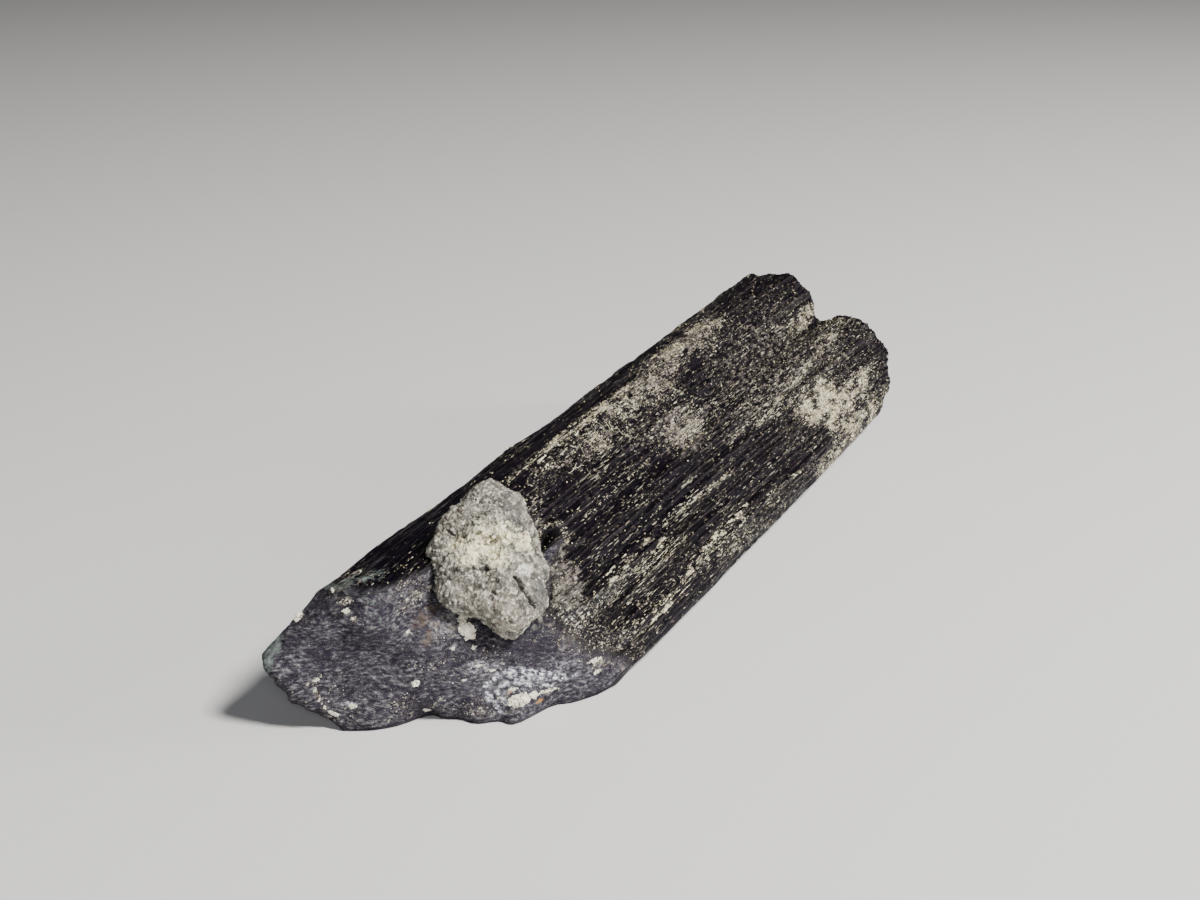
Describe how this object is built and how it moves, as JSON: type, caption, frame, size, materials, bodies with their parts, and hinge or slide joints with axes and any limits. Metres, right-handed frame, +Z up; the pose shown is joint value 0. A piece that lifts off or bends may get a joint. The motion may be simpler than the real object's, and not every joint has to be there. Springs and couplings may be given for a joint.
{
  "type": "black tourmaline crystal",
  "caption": "Rough black tourmaline prism with growth ridges along it, one end broken with a seated lump of pale granular matrix, the other end forked.",
  "frame": {"origin": "centre of the bounding box in plan, on the surface it rests on", "axes": "+X along the prism from its broken end to its forked end, +Z up, +Y to the left when looking along +X"},
  "size_m": [0.1478, 0.0384, 0.0272],
  "materials": {
    "tourmaline": "near-black striated stone, satin, dusted with pale grit in its grooves",
    "matrix": "pale grey granular feldspar and quartz, matt"
  },
  "bodies": {
    "root": {"tourmaline_crystal": "tourmaline", "matrix_lump": "matrix"}
  },
  "joints": []
}
